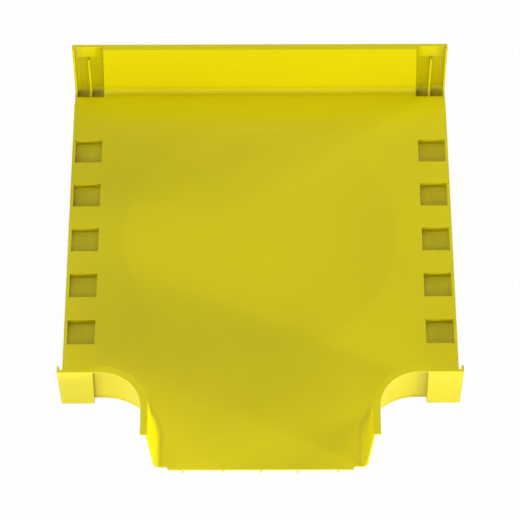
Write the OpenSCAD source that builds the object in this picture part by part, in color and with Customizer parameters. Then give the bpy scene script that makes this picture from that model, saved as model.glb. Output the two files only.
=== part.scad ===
// Cable tray tee: one moulding with a straight run, a side branch and two rounded corners.
// X runs along the run, the branch leaves towards -Y, and Z = 0 is the plane the tray rests on.

/* [Run] */
// Length of the run between its two end planes
run_length = 638.8; // [610:0.1:900]
// Inside width of the run at floor level
run_width = 608.6; // [560:0.1:680]

/* [Branch] */
// Inside width of the branch at floor level
branch_width = 332; // [280:1:360]
// Distance from the run's centre line to the end plane of the branch
branch_reach = 436.6; // [410:0.1:700]
// Plan radius of the rim's outer edge where a run wall turns into the branch
corner_r = 63.6; // [20:0.1:75]

/* [Walls] */
// Height of the rim's top above the floor
wall_height = 103.2; // [95:0.1:160]
// Thickness of every wall
wall_t = 3; // [2:0.1:4]
// Outward lean of the walls from the vertical, in degrees
wall_lean = 5; // [1:0.1:7]
// Width of the rim, measured outwards from the wall's inner face
rim_w = 11.3; // [9:0.1:16]
// Thickness of the rim
rim_t = 3; // [2:0.1:5]
// Radius of the inside fillet between a wall and the floor
fillet_r = 8.4; // [4:0.1:12]

/* [Floor] */
// Thickness of the floor
floor_t = 3; // [2:0.1:4]
// How far the floor's tongue stands out of each end of the run
run_tongue = 0.8; // [0.5:0.1:8]
// How far the floor's tongue stands out of the end of the branch
branch_tongue = 5.2; // [1:0.1:10]
// Distance from a run wall's inner face to the side of the run's tongues
run_tongue_inset = 27.5; // [18:0.5:40]
// Distance from a branch wall's inner face to the side of the branch's tongue
branch_tongue_inset = 19.2; // [12:0.1:40]
// Radius of the round dished field in the floor
dish_r = 226.8; // [150:0.1:250]
// Depth of the dished field at its middle
dish_depth = 6; // [2:0.5:7]
// How far the dished field's middle sits off the run's centre line, away from the branch
dish_shift = 3.1; // [0:0.1:15]

/* [End pockets] */
// Distance from a pocket's inner end to its outer end, along the run
pocket_length = 45.4; // [20:0.1:50]
// Thickness of the wall between a floor pocket and the run's end
pocket_end_t = 4.4; // [2:0.1:6]
// Thickness of the cheek that closes a side pocket at the run's end
cheek_t = 3.5; // [2:0.1:6]
// Thickness of the web that closes a side pocket's inner end
side_web_t = 3.4; // [2:0.1:6]
// Width of a floor pocket across the run
pocket_width = 45.8; // [20:0.1:70]
// Spacing of the floor pockets across the run
pocket_pitch = 90.5; // [80:0.1:100]
// Number of floor pockets at each end of the run
pocket_rows = 5; // [1:2:5]
// How far the rows of floor pockets sit off the run's centre line, towards the branch
pocket_shift = 5.6; // [0:0.1:10]
// Thickness of a pocket's bottom
pocket_bottom = 3; // [2:0.1:5]
// How far a side pocket cuts into the floor in front of its wall
side_pocket_reach = 13.6; // [9.5:0.1:20]
// Thickness of the rib that divides a side pocket
side_rib_t = 3.4; // [2:0.1:5]
// Height of that rib, and of the step in the pocket's back, above the floor
side_rib_height = 78; // [40:1:90]
// Depth of the step in the pocket's back
side_step = 1.5; // [0.5:0.1:3]
// Draft of a side pocket's inner end and of its web, in degrees
side_pocket_draft = 1.6; // [0:0.1:3]

/* [Underside ribs] */
// Depth of the ribs below the floor
rib_depth = 8; // [7:0.5:15]
// Thickness of the ribs
rib_t = 3; // [2:0.1:5]
// Distance of the inner pair of lengthwise ribs from the centre line
inner_rib_x = 58.6; // [30:0.1:80]
// Distance of the outer pair of lengthwise ribs from the centre line
outer_rib_x = 122.7; // [90:0.1:130]
// Distance of the edge rib's outer face inside the walls' inner faces
edge_rib_inset = 0.5; // [0:0.1:3]
// How far the edge rib stops short of the branch's end plane
edge_rib_setback = 12; // [6:0.5:30]

/* [Hidden] */
tee_yellow = [0.86, 0.77, 0.09];
// Steps in a fillet and in the dish, and how far shapes run into each other
fillet_steps = 8;
dish_steps = 16;
lap = 1;
round_facets = 96;
// Heights: the resting plane is 0
floor_top = floor_t + rib_depth;
// A slanted wall's thickness, measured level
wall_level_t = wall_t / cos(wall_lean);
// Inside fillet: how far it reaches out over the floor
fillet_reach = fillet_r * tan((90 - wall_lean) / 2);
// Outside rounding under the wall, concentric with the fillet in a wall of one thickness
round_r = fillet_r + wall_t;
round_centre_v = round_r - floor_t;
round_centre_u = wall_level_t + lean(round_centre_v) - round_r / cos(wall_lean);
wall_foot = max(fillet_reach, -round_centre_u) + lap;
// Distance from a wall's inner face at floor level to the rim's outer edge
rim_reach = lean(wall_height) + rim_w;
// Corner walls turn about this point of the plan
corner_x = branch_width / 2 + rim_reach + corner_r;
corner_y = -(run_width / 2 + rim_reach + corner_r);
corner_floor_r = corner_r + rim_reach;
// End pockets, along the run
run_end = run_length / 2;
pocket_outer_x = run_end - pocket_end_t;
cheek_x = run_end - cheek_t;
pocket_inner_x = pocket_outer_x - pocket_length;
side_rib_x = (pocket_inner_x + pocket_outer_x) / 2;
// Sphere that the dish is cut from
dish_sphere_r = (dish_r * dish_r + dish_depth * dish_depth) / (2 * dish_depth);

// How far a wall leans out at a height above the floor
function lean(height) = height * tan(wall_lean);

// Drop of the dish below the floor at a radius
function dish_drop(r) = sqrt(dish_sphere_r * dish_sphere_r - r * r) - dish_sphere_r + dish_depth;

// Points of an arc
function arc_points(centre, r, start, end, steps) =
    [for (i = [0:steps])
        let (a = start + (end - start) * i / steps)
        centre + r * [cos(a), sin(a)]];

// Inside fillet of a wall, from its inner face down to the floor
inner_fillet = arc_points([-fillet_reach, fillet_r], fillet_r, -wall_lean, -90, fillet_steps);

// Section of a wall: first value is outwards from its inner face, second is up from the floor
wall_points = concat(
    [[-wall_foot, -floor_t]],
    arc_points([round_centre_u, round_centre_v], round_r, -90, -wall_lean, fillet_steps),
    [
        [wall_level_t + lean(wall_height - rim_t), wall_height - rim_t],
        [skin_outside(wall_height - rim_t), wall_height - rim_t],
        [rim_reach, wall_height],
        [lean(wall_height), wall_height]
    ],
    inner_fillet,
    [[-wall_foot, 0]]
);

// Level place of a side pocket's outer skin, outside and inside
function skin_outside(height) = rim_w + lean(height);
function skin_inside(height) = skin_outside(height) - wall_level_t;

// Rounding between a side pocket's back and bottom, concentric with the wall's fillet
side_pocket_floor = pocket_bottom - floor_top;
pocket_round = min(fillet_r - side_pocket_floor, side_pocket_reach + rim_w - wall_level_t);
pocket_round_v = side_pocket_floor + pocket_round;
pocket_round_u = skin_inside(pocket_round_v) - pocket_round / cos(wall_lean);

// Draws its child along X from one x to another: the child's x turns to Y and its y to Z
module along_x(from_x, to_x) {
    translate([from_x, 0, floor_top])
        rotate([90, 0, 90])
            linear_extrude(to_x - from_x) children();
}

module straight_wall(from_x, to_x) {
    translate([0, run_width / 2, 0])
        along_x(from_x, to_x) polygon(wall_points);
}

module branch_wall() {
    translate([branch_width / 2, 0, 0])
        translate([0, corner_y, floor_top])
            rotate([90, 0, 0])
                linear_extrude(branch_reach + corner_y) polygon(wall_points);
}

module corner_wall() {
    translate([corner_x, corner_y, floor_top])
        rotate_extrude(angle = 90, start = 90, $fn = round_facets)
            polygon([for (p = wall_points) [corner_floor_r - p[0], p[1]]]);
}

// Slice of a run end, whose inner side leans away from the end with a side pocket's draft
module end_slice(inner_x, outer_x) {
    low = -floor_top - lap;
    high = wall_height + 2 * lap;
    translate([0, run_width, floor_top])
        rotate([90, 0, 0])
            linear_extrude(run_width)
                polygon([
                    [inner_x - low * tan(side_pocket_draft), low],
                    [outer_x, low],
                    [outer_x, high],
                    [inner_x - high * tan(side_pocket_draft), high]
                ]);
}

// Outside of a side pocket, with its cheek, its web and the part below the floor, begun at the
// middle of the wall's and the floor's thickness
module side_pocket_shell() {
    front = -side_pocket_reach - wall_t;
    middle_r = fillet_r + wall_t / 2;
    intersection() {
        translate([0, run_width / 2, 0])
            along_x(0, run_end)
                polygon(concat(
                    [
                        [front, -floor_top],
                        [skin_outside(-floor_top), -floor_top],
                        [skin_outside(wall_height), wall_height],
                        [lean(wall_height) + wall_level_t / 2, wall_height]
                    ],
                    arc_points([-fillet_reach, fillet_r], middle_r, -wall_lean, -90, fillet_steps),
                    [[front, -wall_t / 2]]
                ));
        end_slice(pocket_inner_x - side_web_t, run_end + lap);
    }
}

// Room inside a side pocket: open to the channel and at the top, with a step in its back
module side_pocket_room() {
    above = wall_height + lap;
    difference() {
        intersection() {
            translate([0, run_width / 2, 0])
                along_x(0, cheek_x)
                    polygon(concat(
                        [[-side_pocket_reach, side_pocket_floor]],
                        arc_points([pocket_round_u, pocket_round_v], pocket_round, -90, -wall_lean,
                            fillet_steps),
                        [
                            [skin_inside(side_rib_height), side_rib_height],
                            [skin_inside(side_rib_height) - side_step, side_rib_height],
                            [skin_inside(above) - side_step, above],
                            [-side_pocket_reach, above]
                        ]
                    ));
            end_slice(pocket_inner_x, cheek_x + lap);
        }
        side_pocket_rib();
    }
}

// Rib that divides a side pocket, whose front follows the wall's inner face and the floor
module side_pocket_rib() {
    low = side_pocket_floor - lap;
    front = -side_pocket_reach - lap;
    translate([0, run_width / 2, 0])
        along_x(side_rib_x - side_rib_t / 2, side_rib_x + side_rib_t / 2)
            polygon(concat(
                [[front, low], [skin_outside(low), low]],
                [
                    [skin_outside(side_rib_height), side_rib_height],
                    [lean(side_rib_height), side_rib_height]
                ],
                inner_fillet,
                [[front, 0]]
            ));
}

// Draws its child at both ends of the run
module both_ends() {
    children();
    mirror([1, 0, 0]) children();
}

// Draws its child at both ends of both run walls
module four_corners() {
    both_ends() children();
    mirror([0, 1, 0]) both_ends() children();
}

// Plan of the floor, held back from the walls by their foot
module floor_plan() {
    inset = wall_foot - lap / 2;
    half_run = run_width / 2 - inset;
    half_branch = branch_width / 2 - inset;
    translate([-run_end, -half_run]) square([run_length, 2 * half_run]);
    translate([-half_branch, -branch_reach]) square([2 * half_branch, branch_reach]);
    both_ends()
        difference() {
            translate([half_branch - lap, corner_y])
                square([corner_x - half_branch + lap, -half_run - corner_y + lap]);
            translate([corner_x, corner_y]) circle(r = corner_floor_r + inset, $fn = round_facets);
        }
}

// Tongues that stand out of the floor at the three ends
module tongues() {
    run_half = run_width / 2 - run_tongue_inset;
    branch_half = branch_width / 2 - branch_tongue_inset;
    tongue_length = run_length + 2 * run_tongue;
    translate([-tongue_length / 2, -run_half]) square([tongue_length, 2 * run_half]);
    translate([-branch_half, -branch_reach - branch_tongue])
        square([2 * branch_half, branch_tongue + lap]);
}

module floor_plate() {
    translate([0, 0, floor_top - floor_t])
        linear_extrude(floor_t) {
            floor_plan();
            tongues();
        }
}

// Radii and heights of the dish's upper surface, from its edge to its middle
dish_points = [for (i = [dish_steps:-1:0])
    let (r = dish_r * i / dish_steps)
    [r, -dish_drop(r)]];

module dish_pan() {
    translate([0, dish_shift, floor_top])
        rotate_extrude($fn = round_facets)
            polygon(concat([[0, -floor_t / 2], [dish_r, -floor_t / 2]],
                [for (p = dish_points) p - [0, floor_t]]));
}

module dish_room() {
    translate([0, dish_shift, floor_top])
        rotate_extrude($fn = round_facets)
            polygon(concat([[0, lap], [dish_r, lap]], dish_points));
}

// Draws its child at each floor pocket of one end of the run
module each_floor_pocket() {
    for (row = [0:pocket_rows - 1])
        translate([0, (row - (pocket_rows - 1) / 2) * pocket_pitch - pocket_shift, 0]) children();
}

module floor_pocket_shell() {
    length = run_end - pocket_inner_x + wall_t;
    width = pocket_width + 2 * wall_t;
    translate([run_end - length, -width / 2, 0]) cube([length, width, floor_top]);
}

module floor_pocket_room() {
    translate([pocket_inner_x, -pocket_width / 2, pocket_bottom])
        cube([pocket_length, pocket_width, floor_top]);
}

// Ribs under the floor: lengthwise under the branch and the run, and level with the pockets
module underside_ribs() {
    back = run_width / 2 - fillet_reach;
    front = branch_reach + branch_tongue;
    for (x = [-outer_rib_x, -inner_rib_x, 0, inner_rib_x, outer_rib_x])
        translate([x - rib_t / 2, -front, 0]) cube([rib_t, front + back, floor_top - floor_t / 2]);
    cross_half = pocket_inner_x - wall_t / 2;
    each_floor_pocket()
        translate([-cross_half, -rib_t / 2, 0]) cube([2 * cross_half, rib_t, floor_top - floor_t / 2]);
}

// Rib that follows the foot of the walls: under the back wall, and from a front pocket round
// the corner to the branch's end
module edge_rib() {
    outer_y = run_width / 2 - edge_rib_inset;
    outer_x = branch_width / 2 - edge_rib_inset;
    translate([-pocket_inner_x, outer_y - rib_t, 0])
        cube([2 * pocket_inner_x, rib_t, floor_top]);
    both_ends() {
        translate([corner_x - lap, -outer_y, 0])
            cube([pocket_inner_x - corner_x + lap, rib_t, floor_top]);
        translate([corner_x, corner_y, 0])
            rotate_extrude(angle = 90, start = 90, $fn = round_facets)
                translate([corner_floor_r + edge_rib_inset, 0]) square([rib_t, floor_top]);
        translate([outer_x - rib_t, -branch_reach + edge_rib_setback, 0])
            cube([rib_t, branch_reach - edge_rib_setback + corner_y, floor_top]);
    }
}

module tee_body() {
    color(tee_yellow)
        difference() {
            union() {
                floor_plate();
                dish_pan();
                underside_ribs();
                edge_rib();
                straight_wall(-run_end, run_end);
                both_ends() {
                    mirror([0, 1, 0]) straight_wall(corner_x, run_end);
                    corner_wall();
                    branch_wall();
                    each_floor_pocket() floor_pocket_shell();
                }
                four_corners() side_pocket_shell();
            }
            dish_room();
            both_ends() each_floor_pocket() floor_pocket_room();
            four_corners() side_pocket_room();
        }
}

tee_body();
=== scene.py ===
import math

import bpy
from mathutils import Matrix, Vector

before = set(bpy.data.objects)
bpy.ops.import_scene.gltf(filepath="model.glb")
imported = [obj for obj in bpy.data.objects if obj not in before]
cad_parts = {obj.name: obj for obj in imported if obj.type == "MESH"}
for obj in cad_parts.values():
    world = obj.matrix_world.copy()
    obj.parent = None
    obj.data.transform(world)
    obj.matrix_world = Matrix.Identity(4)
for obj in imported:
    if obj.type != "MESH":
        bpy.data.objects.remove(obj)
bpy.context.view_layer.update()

MM = 0.001

# Camera: where it stands, how far it looks down, and its small turn and roll
CAMERA_AIM = Vector((-0.54, -47.4, 11.0)) * MM
CAMERA_DISTANCE = 4357.95 * MM
CAMERA_DOWN = math.radians(56.676)
CAMERA_TURN = 0.00247
CAMERA_ROLL = -0.00470
CAMERA_LENS = 182.0
CAMERA_SENSOR = 36.0
PHOTO_WIDTH = 520
CAMERA_SHIFT_X = -0.06 / PHOTO_WIDTH
CAMERA_SHIFT_Y = 0.2 / PHOTO_WIDTH

# Yellow plastic: slight clouding, painted shade in the inner corners, rounded edges and a fine
# grain
PLASTIC_IOR = 1.46
CLOUD_SCALE = 6.0
CLOUD_DETAIL = 3.0
CLOUD_COLOURS = ((0.35, (0.765, 0.665, 0.0024, 1)), (0.65, (0.777, 0.675, 0.0028, 1)))
CLOUD_ROUGHNESS = (0.28, 0.34)
# Painted shade in inner corners: how far the occlusion looks, its samples, the occlusion where
# the shade is deepest, and the colour's value there
SHADE_REACH = 16 * MM
SHADE_SAMPLES = 8
SHADE_DEEPEST_AO = 0.5
SHADE_DARKEST = 0.68
EDGE_RADIUS = 1.1 * MM
EDGE_SAMPLES = 6
GRAIN_SCALE = 1400.0
GRAIN_DETAIL = 1.0
GRAIN_STRENGTH = 0.05
GRAIN_DEPTH = 0.02 * MM

# White surroundings: how white the camera and glossy rays see them
FLOOR_SIZE = 30.0
FLOOR_GAP = 0.2 * MM
FLOOR_COLOUR = (0.97, 0.97, 0.97, 1)
FLOOR_TO_CAMERA = 0.97
FLOOR_TO_GLOSS = 0.38
SKY_COLOUR = (1, 1, 1, 1)
SKY_TO_CAMERA = 1.0
SKY_TO_GLOSS = 0.8

# Far lamps: name, azimuth, elevation, level, spread. Azimuth 0 is behind the tray (+Y), 90 at
# its right (+X). The levels here, and the near lamps' powers, come from a least squares fit of
# the lamps' renders to the photograph's shading, and are rounded
FAR_LAMPS = (
    ("right_front", 115, 10, 1.52, 7),
    ("back_right", 20, 4, 1.25, 16),
    ("right_back_low", 65, 9, 1.12, 6),
    ("right_back", 56, 12, 1.07, 6),
    ("top_left", 315, 68, 0.67, 30),
    ("right_low", 100, 4, 0.49, 16),
    ("left_front", 240, 15, 0.49, 16),
    ("front", 180, 15, 0.43, 16),
    ("back", 0, 4, 0.42, 16),
    ("front_low", 180, 4, 0.4, 16),
    ("left", 260, 9, 0.33, 16),
    ("left_high", 270, 26, 0.31, 20),
    ("right_front_high", 125, 13, 0.29, 7),
    ("left_top", 255, 45, 0.28, 30),
    ("front_left_high", 210, 26, 0.27, 20),
    ("right", 80, 6, 0.21, 8),
    ("left_back", 330, 26, 0.12, 20),
)

# Near lamps, outside the picture: name, place, power
NEAR_LAMPS = (
    ("near_front_left", (-0.5, -1.4, 0.2), 11.7),
    ("near_front", (0.0, -1.0, 0.5), 2.0),
    ("near_front_right", (0.45, -0.75, 0.14), 0.45),
)
NEAR_LAMP_R = 0.12


def make_camera():
    """A long lens in front of the branch that looks down on the tray."""
    turn = Matrix.Rotation(CAMERA_TURN, 3, "Z")
    right = turn @ Vector((1, 0, 0))
    ahead = turn @ Vector((0, math.cos(CAMERA_DOWN), -math.sin(CAMERA_DOWN)))
    up = right.cross(ahead)
    roll = Matrix.Rotation(CAMERA_ROLL, 3, -ahead)
    data = bpy.data.cameras.new("camera")
    data.lens = CAMERA_LENS
    data.sensor_width = CAMERA_SENSOR
    data.shift_x = CAMERA_SHIFT_X
    data.shift_y = CAMERA_SHIFT_Y
    camera = bpy.data.objects.new("camera", data)
    axes = Matrix((roll @ right, roll @ up, roll @ -ahead)).transposed()
    place = turn @ CAMERA_AIM - ahead * CAMERA_DISTANCE
    camera.matrix_world = Matrix.Translation(place) @ axes.to_4x4()
    bpy.context.collection.objects.link(camera)
    bpy.context.scene.camera = camera


def new_material(name):
    material = bpy.data.materials.new(name)
    material.use_nodes = True
    material.node_tree.nodes.clear()
    return material, material.node_tree.nodes, material.node_tree.links


def plastic():
    """Satin yellow moulded plastic."""
    material, nodes, links = new_material("yellow_plastic")
    out = nodes.new("ShaderNodeOutputMaterial")
    shader = nodes.new("ShaderNodeBsdfPrincipled")
    shader.inputs["IOR"].default_value = PLASTIC_IOR
    links.new(shader.outputs[0], out.inputs["Surface"])
    place = nodes.new("ShaderNodeTexCoord")
    cloud = nodes.new("ShaderNodeTexNoise")
    cloud.inputs["Scale"].default_value = CLOUD_SCALE
    cloud.inputs["Detail"].default_value = CLOUD_DETAIL
    links.new(place.outputs["Object"], cloud.inputs["Vector"])
    colour = nodes.new("ShaderNodeValToRGB")
    for stop, (position, value) in zip(colour.color_ramp.elements, CLOUD_COLOURS):
        stop.position = position
        stop.color = value
    links.new(cloud.outputs["Fac"], colour.inputs["Fac"])
    # Painted shade: the base colour is darkened where the part's own surfaces close in, in
    # fillets, pockets and corners
    occlusion = nodes.new("ShaderNodeAmbientOcclusion")
    occlusion.samples = SHADE_SAMPLES
    occlusion.only_local = True
    occlusion.inputs["Distance"].default_value = SHADE_REACH
    shade_depth = nodes.new("ShaderNodeMapRange")
    shade_depth.inputs["From Min"].default_value = SHADE_DEEPEST_AO
    shade_depth.inputs["To Min"].default_value = SHADE_DARKEST
    links.new(occlusion.outputs["AO"], shade_depth.inputs["Value"])
    painted_shade = nodes.new("ShaderNodeHueSaturation")
    links.new(shade_depth.outputs["Result"], painted_shade.inputs["Value"])
    links.new(colour.outputs["Color"], painted_shade.inputs["Color"])
    links.new(painted_shade.outputs["Color"], shader.inputs["Base Color"])
    rough = nodes.new("ShaderNodeMapRange")
    rough.inputs["To Min"].default_value, rough.inputs["To Max"].default_value = CLOUD_ROUGHNESS
    links.new(cloud.outputs["Fac"], rough.inputs["Value"])
    links.new(rough.outputs["Result"], shader.inputs["Roughness"])
    bevel = nodes.new("ShaderNodeBevel")
    bevel.samples = EDGE_SAMPLES
    bevel.inputs["Radius"].default_value = EDGE_RADIUS
    grain = nodes.new("ShaderNodeTexNoise")
    grain.inputs["Scale"].default_value = GRAIN_SCALE
    grain.inputs["Detail"].default_value = GRAIN_DETAIL
    links.new(place.outputs["Object"], grain.inputs["Vector"])
    bump = nodes.new("ShaderNodeBump")
    bump.inputs["Strength"].default_value = GRAIN_STRENGTH
    bump.inputs["Distance"].default_value = GRAIN_DEPTH
    links.new(grain.outputs["Fac"], bump.inputs["Height"])
    links.new(bevel.outputs["Normal"], bump.inputs["Normal"])
    links.new(bump.outputs["Normal"], shader.inputs["Normal"])
    return material


def seen_share(nodes, links, to_camera, to_gloss):
    """How white a ray sees the surroundings: camera rays, and glossy or clear ones."""
    path = nodes.new("ShaderNodeLightPath")
    camera = nodes.new("ShaderNodeMath")
    camera.operation = "MULTIPLY"
    camera.inputs[1].default_value = to_camera
    links.new(path.outputs["Is Camera Ray"], camera.inputs[0])
    bounce = nodes.new("ShaderNodeMath")
    bounce.operation = "MAXIMUM"
    links.new(path.outputs["Is Glossy Ray"], bounce.inputs[0])
    links.new(path.outputs["Is Transmission Ray"], bounce.inputs[1])
    share = nodes.new("ShaderNodeMath")
    share.operation = "MULTIPLY_ADD"
    share.inputs[1].default_value = to_gloss
    links.new(bounce.outputs[0], share.inputs[0])
    links.new(camera.outputs[0], share.inputs[2])
    return share.outputs[0]


def white_floor():
    """A white floor that keeps a faint shadow of the tray."""
    material, nodes, links = new_material("pale_floor")
    out = nodes.new("ShaderNodeOutputMaterial")
    diffuse = nodes.new("ShaderNodeBsdfDiffuse")
    diffuse.inputs["Color"].default_value = FLOOR_COLOUR
    glow = nodes.new("ShaderNodeEmission")
    mix = nodes.new("ShaderNodeMixShader")
    links.new(seen_share(nodes, links, FLOOR_TO_CAMERA, FLOOR_TO_GLOSS), mix.inputs["Fac"])
    links.new(diffuse.outputs[0], mix.inputs[1])
    links.new(glow.outputs[0], mix.inputs[2])
    links.new(mix.outputs[0], out.inputs["Surface"])
    bpy.ops.mesh.primitive_plane_add(size=FLOOR_SIZE, location=(0, 0, -FLOOR_GAP))
    floor = bpy.context.object
    floor.name = "floor"
    floor.data.materials.append(material)


def white_world():
    """A sky that is seen as white and lights nothing: the lamps do that."""
    world = bpy.data.worlds.new("world")
    bpy.context.scene.world = world
    world.use_nodes = True
    nodes, links = world.node_tree.nodes, world.node_tree.links
    nodes.clear()
    out = nodes.new("ShaderNodeOutputWorld")
    sky = nodes.new("ShaderNodeBackground")
    sky.inputs["Color"].default_value = SKY_COLOUR
    links.new(seen_share(nodes, links, SKY_TO_CAMERA, SKY_TO_GLOSS), sky.inputs["Strength"])
    links.new(sky.outputs[0], out.inputs["Surface"])


def add_lamp(name, data):
    """The lamps light the tray; what its gloss shows is the white surroundings alone."""
    lamp = bpy.data.objects.new(name, data)
    lamp.visible_glossy = False
    lamp.visible_camera = False
    bpy.context.collection.objects.link(lamp)
    return lamp


def far_lamp(name, azimuth, elevation, level, spread):
    """Soft light from far away; the spread is the lamp's width in degrees."""
    data = bpy.data.lights.new(name, "SUN")
    data.energy = level
    data.angle = math.radians(spread)
    lamp = add_lamp(name, data)
    a, e = math.radians(azimuth), math.radians(elevation)
    towards = Vector((math.sin(a) * math.cos(e), math.cos(a) * math.cos(e), math.sin(e)))
    lamp.rotation_mode = "QUATERNION"
    lamp.rotation_quaternion = towards.to_track_quat("Z", "Y")


def near_lamp(name, place, power):
    """A soft bulb close by, outside the picture."""
    data = bpy.data.lights.new(name, "POINT")
    data.energy = power
    data.shadow_soft_size = NEAR_LAMP_R
    add_lamp(name, data).location = place


make_camera()
white_world()
white_floor()
for row in FAR_LAMPS:
    far_lamp(*row)
for row in NEAR_LAMPS:
    near_lamp(*row)

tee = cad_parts["tee_body"]
tee.data.materials.clear()
tee.data.materials.append(plastic())

bpy.context.scene.view_settings.view_transform = "Standard"
